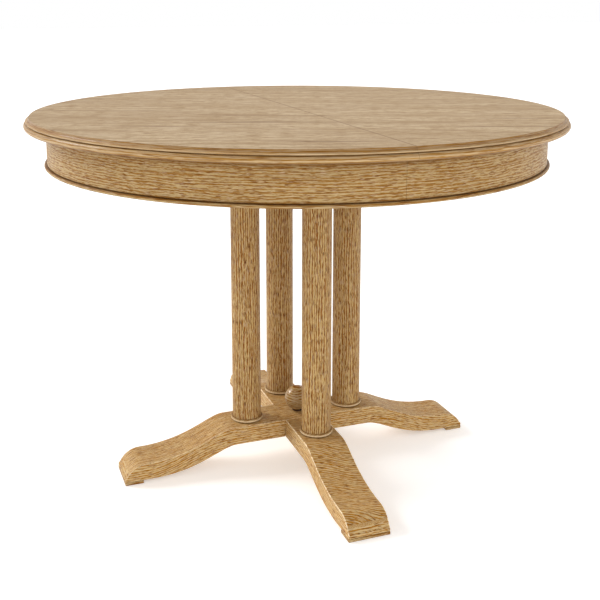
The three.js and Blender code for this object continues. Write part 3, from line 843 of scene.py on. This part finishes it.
def make_columns():
    ring_height = ring_high.z - ring_low.z
    half = ring_height / 2
    inner = COLUMN_RADIUS + TOUCH_GAP
    for number in range(1, 5):
        low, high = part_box(f"column_{number}")
        centre = (low + high) / 2
        node = f"column_{number}"
        column_oak = oak(
            f"column_oak_{number}",
            grain_of_column(centre),
            COLUMN_TONES,
            seed=20.0 + number,
        )
        outline = [(0, low.z), (COLUMN_RADIUS, low.z), (COLUMN_RADIUS, high.z), (0, high.z)]
        vertices, faces = turned(outline, centre.x, centre.y, 96)
        piece = piece_from(f"{node}_look", vertices, faces, column_oak, "pedestal", "column_oak", node)
        finish_mesh(piece, 0.6 * MM)
        node = f"column_ring_{number}"
        outline = [(inner, ring_low.z)]
        outline += arc(inner, ring_low.z + half, RING_RADIUS - inner, half, -84, 84, 12)
        outline += [(inner, ring_high.z)]
        ring_oak = oak(
            f"ring_oak_{number}",
            grain_along_x,
            SOLID_TONES,
            seed=9.0 + number,
            contrast=0.7,
            # Painted shade: dark lines under and over each ring where it meets the column
            shade_lines=((ring_low.z, 2.2 * MM, 0.8), (ring_high.z, 1.6 * MM, 0.6)),
            # Painted highlight: a pale band round the middle of each ring
            arris_highlight=ring_arris_highlight(ring_low.z + half, 2.4 * MM),
        )
        vertices, faces = turned(outline, centre.x, centre.y, 96, closed=True)
        piece = piece_from(f"{node}_look", vertices, faces, ring_oak, "pedestal", "column_oak", node)
        finish_mesh(piece)


def make_ball():
    ball_oak = oak("ball_oak", grain_of_ball, SOLID_TONES, seed=14.0, gloss=0.5)
    outline = [(0, BALL_CENTRE - BALL_RADIUS)]
    outline += arc(0, BALL_CENTRE, BALL_RADIUS, BALL_RADIUS, -86, 86, 40)
    outline += [(0, BALL_CENTRE + BALL_RADIUS)]
    vertices, faces = turned(outline, 0, 0, 64)
    piece = piece_from(
        "ball_finial_look", vertices, faces, ball_oak, "pedestal", "column_oak", "ball_finial"
    )
    finish_mesh(piece)


# ---------------------------------------------------------------- hidden pieces keep their CAD shape


def dress_cad(node, material, bevel):
    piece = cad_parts[node]
    piece.data.materials.clear()
    piece.data.materials.append(material)
    for polygon in piece.data.polygons:
        polygon.use_smooth = False
    if bevel:
        weld = piece.modifiers.new("weld", "WELD")
        weld.merge_threshold = 1e-5
        edges = piece.modifiers.new("edges", "BEVEL")
        edges.width = bevel
        edges.segments = 2
        edges.limit_method = "ANGLE"
        edges.angle_limit = math.radians(50)


def dress_hidden_pieces():
    beech_x = beech("beech_along_x", grain_along_x)
    beech_y = beech("beech_along_y", grain_along_y, 2.0)
    beech_z = beech("beech_along_z", grain_along_z, 3.0)
    steel = zinc_steel("zinc_steel")
    oak_x = oak("bearer_oak_x", grain_along_x, SOLID_TONES, seed=15.0)
    oak_y = oak("bearer_oak_y", grain_along_y, SOLID_TONES, seed=16.0)
    dress_cad("top_bearer_through", oak_x, 0.8 * MM)
    dress_cad("top_bearer_cross", oak_y, 0.8 * MM)
    along_x = ["slide_bed", "fixed_rail_front", "fixed_rail_back"]
    along_x += ["rack_bar_right", "rack_bar_left", "alignment_pin_a", "alignment_pin_b"]
    along_x += [f"slide_rail_{half}_{end}" for half in ("right", "left") for end in ("a", "b")]
    along_y = [f"apron_block_{half}_{end}" for half in ("right", "left") for end in ("a", "b")]
    for node in along_x:
        dress_cad(node, beech_x, 0.8 * MM)
    for node in along_y:
        dress_cad(node, beech_y, 0.8 * MM)
    dress_cad("finial_dowel", beech_z, 0)
    # Painted shade: the collar under the ball is coloured dark for the shadow in the gap under the ball
    dress_cad("finial_collar", collar_shade_wood("collar_painted_shade"), 0.3 * MM)
    metal = ["pinion", "pinion_post", "rack_right", "rack_left"]
    for number in range(1, 5):
        metal += [f"column_bolt_{number}", f"column_screw_{number}", f"bed_screw_{number}"]
    for node in metal:
        dress_cad(node, steel, 0.2 * MM)


# ---------------------------------------------------------------- stage, light and camera

CAMERA_AZIMUTH = math.radians(-20.2)
CAMERA_DISTANCE = 1.975
CAMERA_HEIGHT = 0.987
CAMERA_PITCH = math.radians(10.67)
CAMERA_LENS = 56.9
CAMERA_SHIFT_X = 0.0048
CAMERA_SHIFT_Y = -0.205
DOME_STRENGTH = 0.78


def make_stage():
    bpy.ops.mesh.primitive_plane_add(size=60, location=(0, 0, -0.0003))
    floor = bpy.context.active_object
    floor.name = "floor"
    floor.data.materials.append(floor_paper("floor_paper"))
    world = bpy.data.worlds.new("studio")
    world.use_nodes = True
    tree = world.node_tree
    direction = tree.nodes.new("ShaderNodeTexCoord")
    split = tree.nodes.new("ShaderNodeSeparateXYZ")
    fade = tree.nodes.new("ShaderNodeMapRange")
    fade.inputs["From Min"].default_value = 0.1
    fade.inputs["From Max"].default_value = 0.6
    fade.inputs["To Min"].default_value = 1.0
    fade.inputs["To Max"].default_value = DOME_STRENGTH
    tree.links.new(direction.outputs["Generated"], split.inputs[0])
    tree.links.new(split.outputs["Z"], fade.inputs["Value"])
    tree.links.new(fade.outputs["Result"], tree.nodes["Background"].inputs["Strength"])
    tree.nodes["Background"].inputs["Color"].default_value = (1.0, 1.0, 1.0, 1.0)
    bpy.context.scene.world = world


def distant_light(name, towards, softness, strength):
    """A light that shines from this direction, as wide as softness in degrees."""
    light = bpy.data.lights.new(name, "SUN")
    light.angle = math.radians(softness)
    light.energy = strength
    lamp = bpy.data.objects.new(name, light)
    lamp.rotation_mode = "QUATERNION"
    lamp.rotation_quaternion = Vector(towards).to_track_quat("Z", "Y")
    bpy.context.scene.collection.objects.link(lamp)


def make_lights():
    distant_light("key", (-0.64, 0.57, 0.515), softness=26, strength=2.2)
    distant_light("fill", (0.25, -0.9, 0.35), softness=60, strength=0.55)


def make_camera():
    camera = bpy.data.cameras.new("camera")
    camera.lens = CAMERA_LENS
    camera.sensor_width = 36
    camera.shift_x = CAMERA_SHIFT_X
    camera.shift_y = CAMERA_SHIFT_Y
    holder = bpy.data.objects.new("camera", camera)
    back = Vector((math.sin(CAMERA_AZIMUTH), -math.cos(CAMERA_AZIMUTH), 0))
    holder.location = back * CAMERA_DISTANCE + Vector((0, 0, CAMERA_HEIGHT))
    holder.rotation_euler = (math.pi / 2 - CAMERA_PITCH, 0, CAMERA_AZIMUTH)
    bpy.context.scene.collection.objects.link(holder)
    bpy.context.scene.camera = holder


make_camera()
make_stage()
make_lights()
make_half_top("right", 1)
make_half_top("left", -1)
make_beams()
make_pads()
make_columns()
make_ball()
dress_hidden_pieces()

bpy.context.scene.view_settings.view_transform = "Standard"
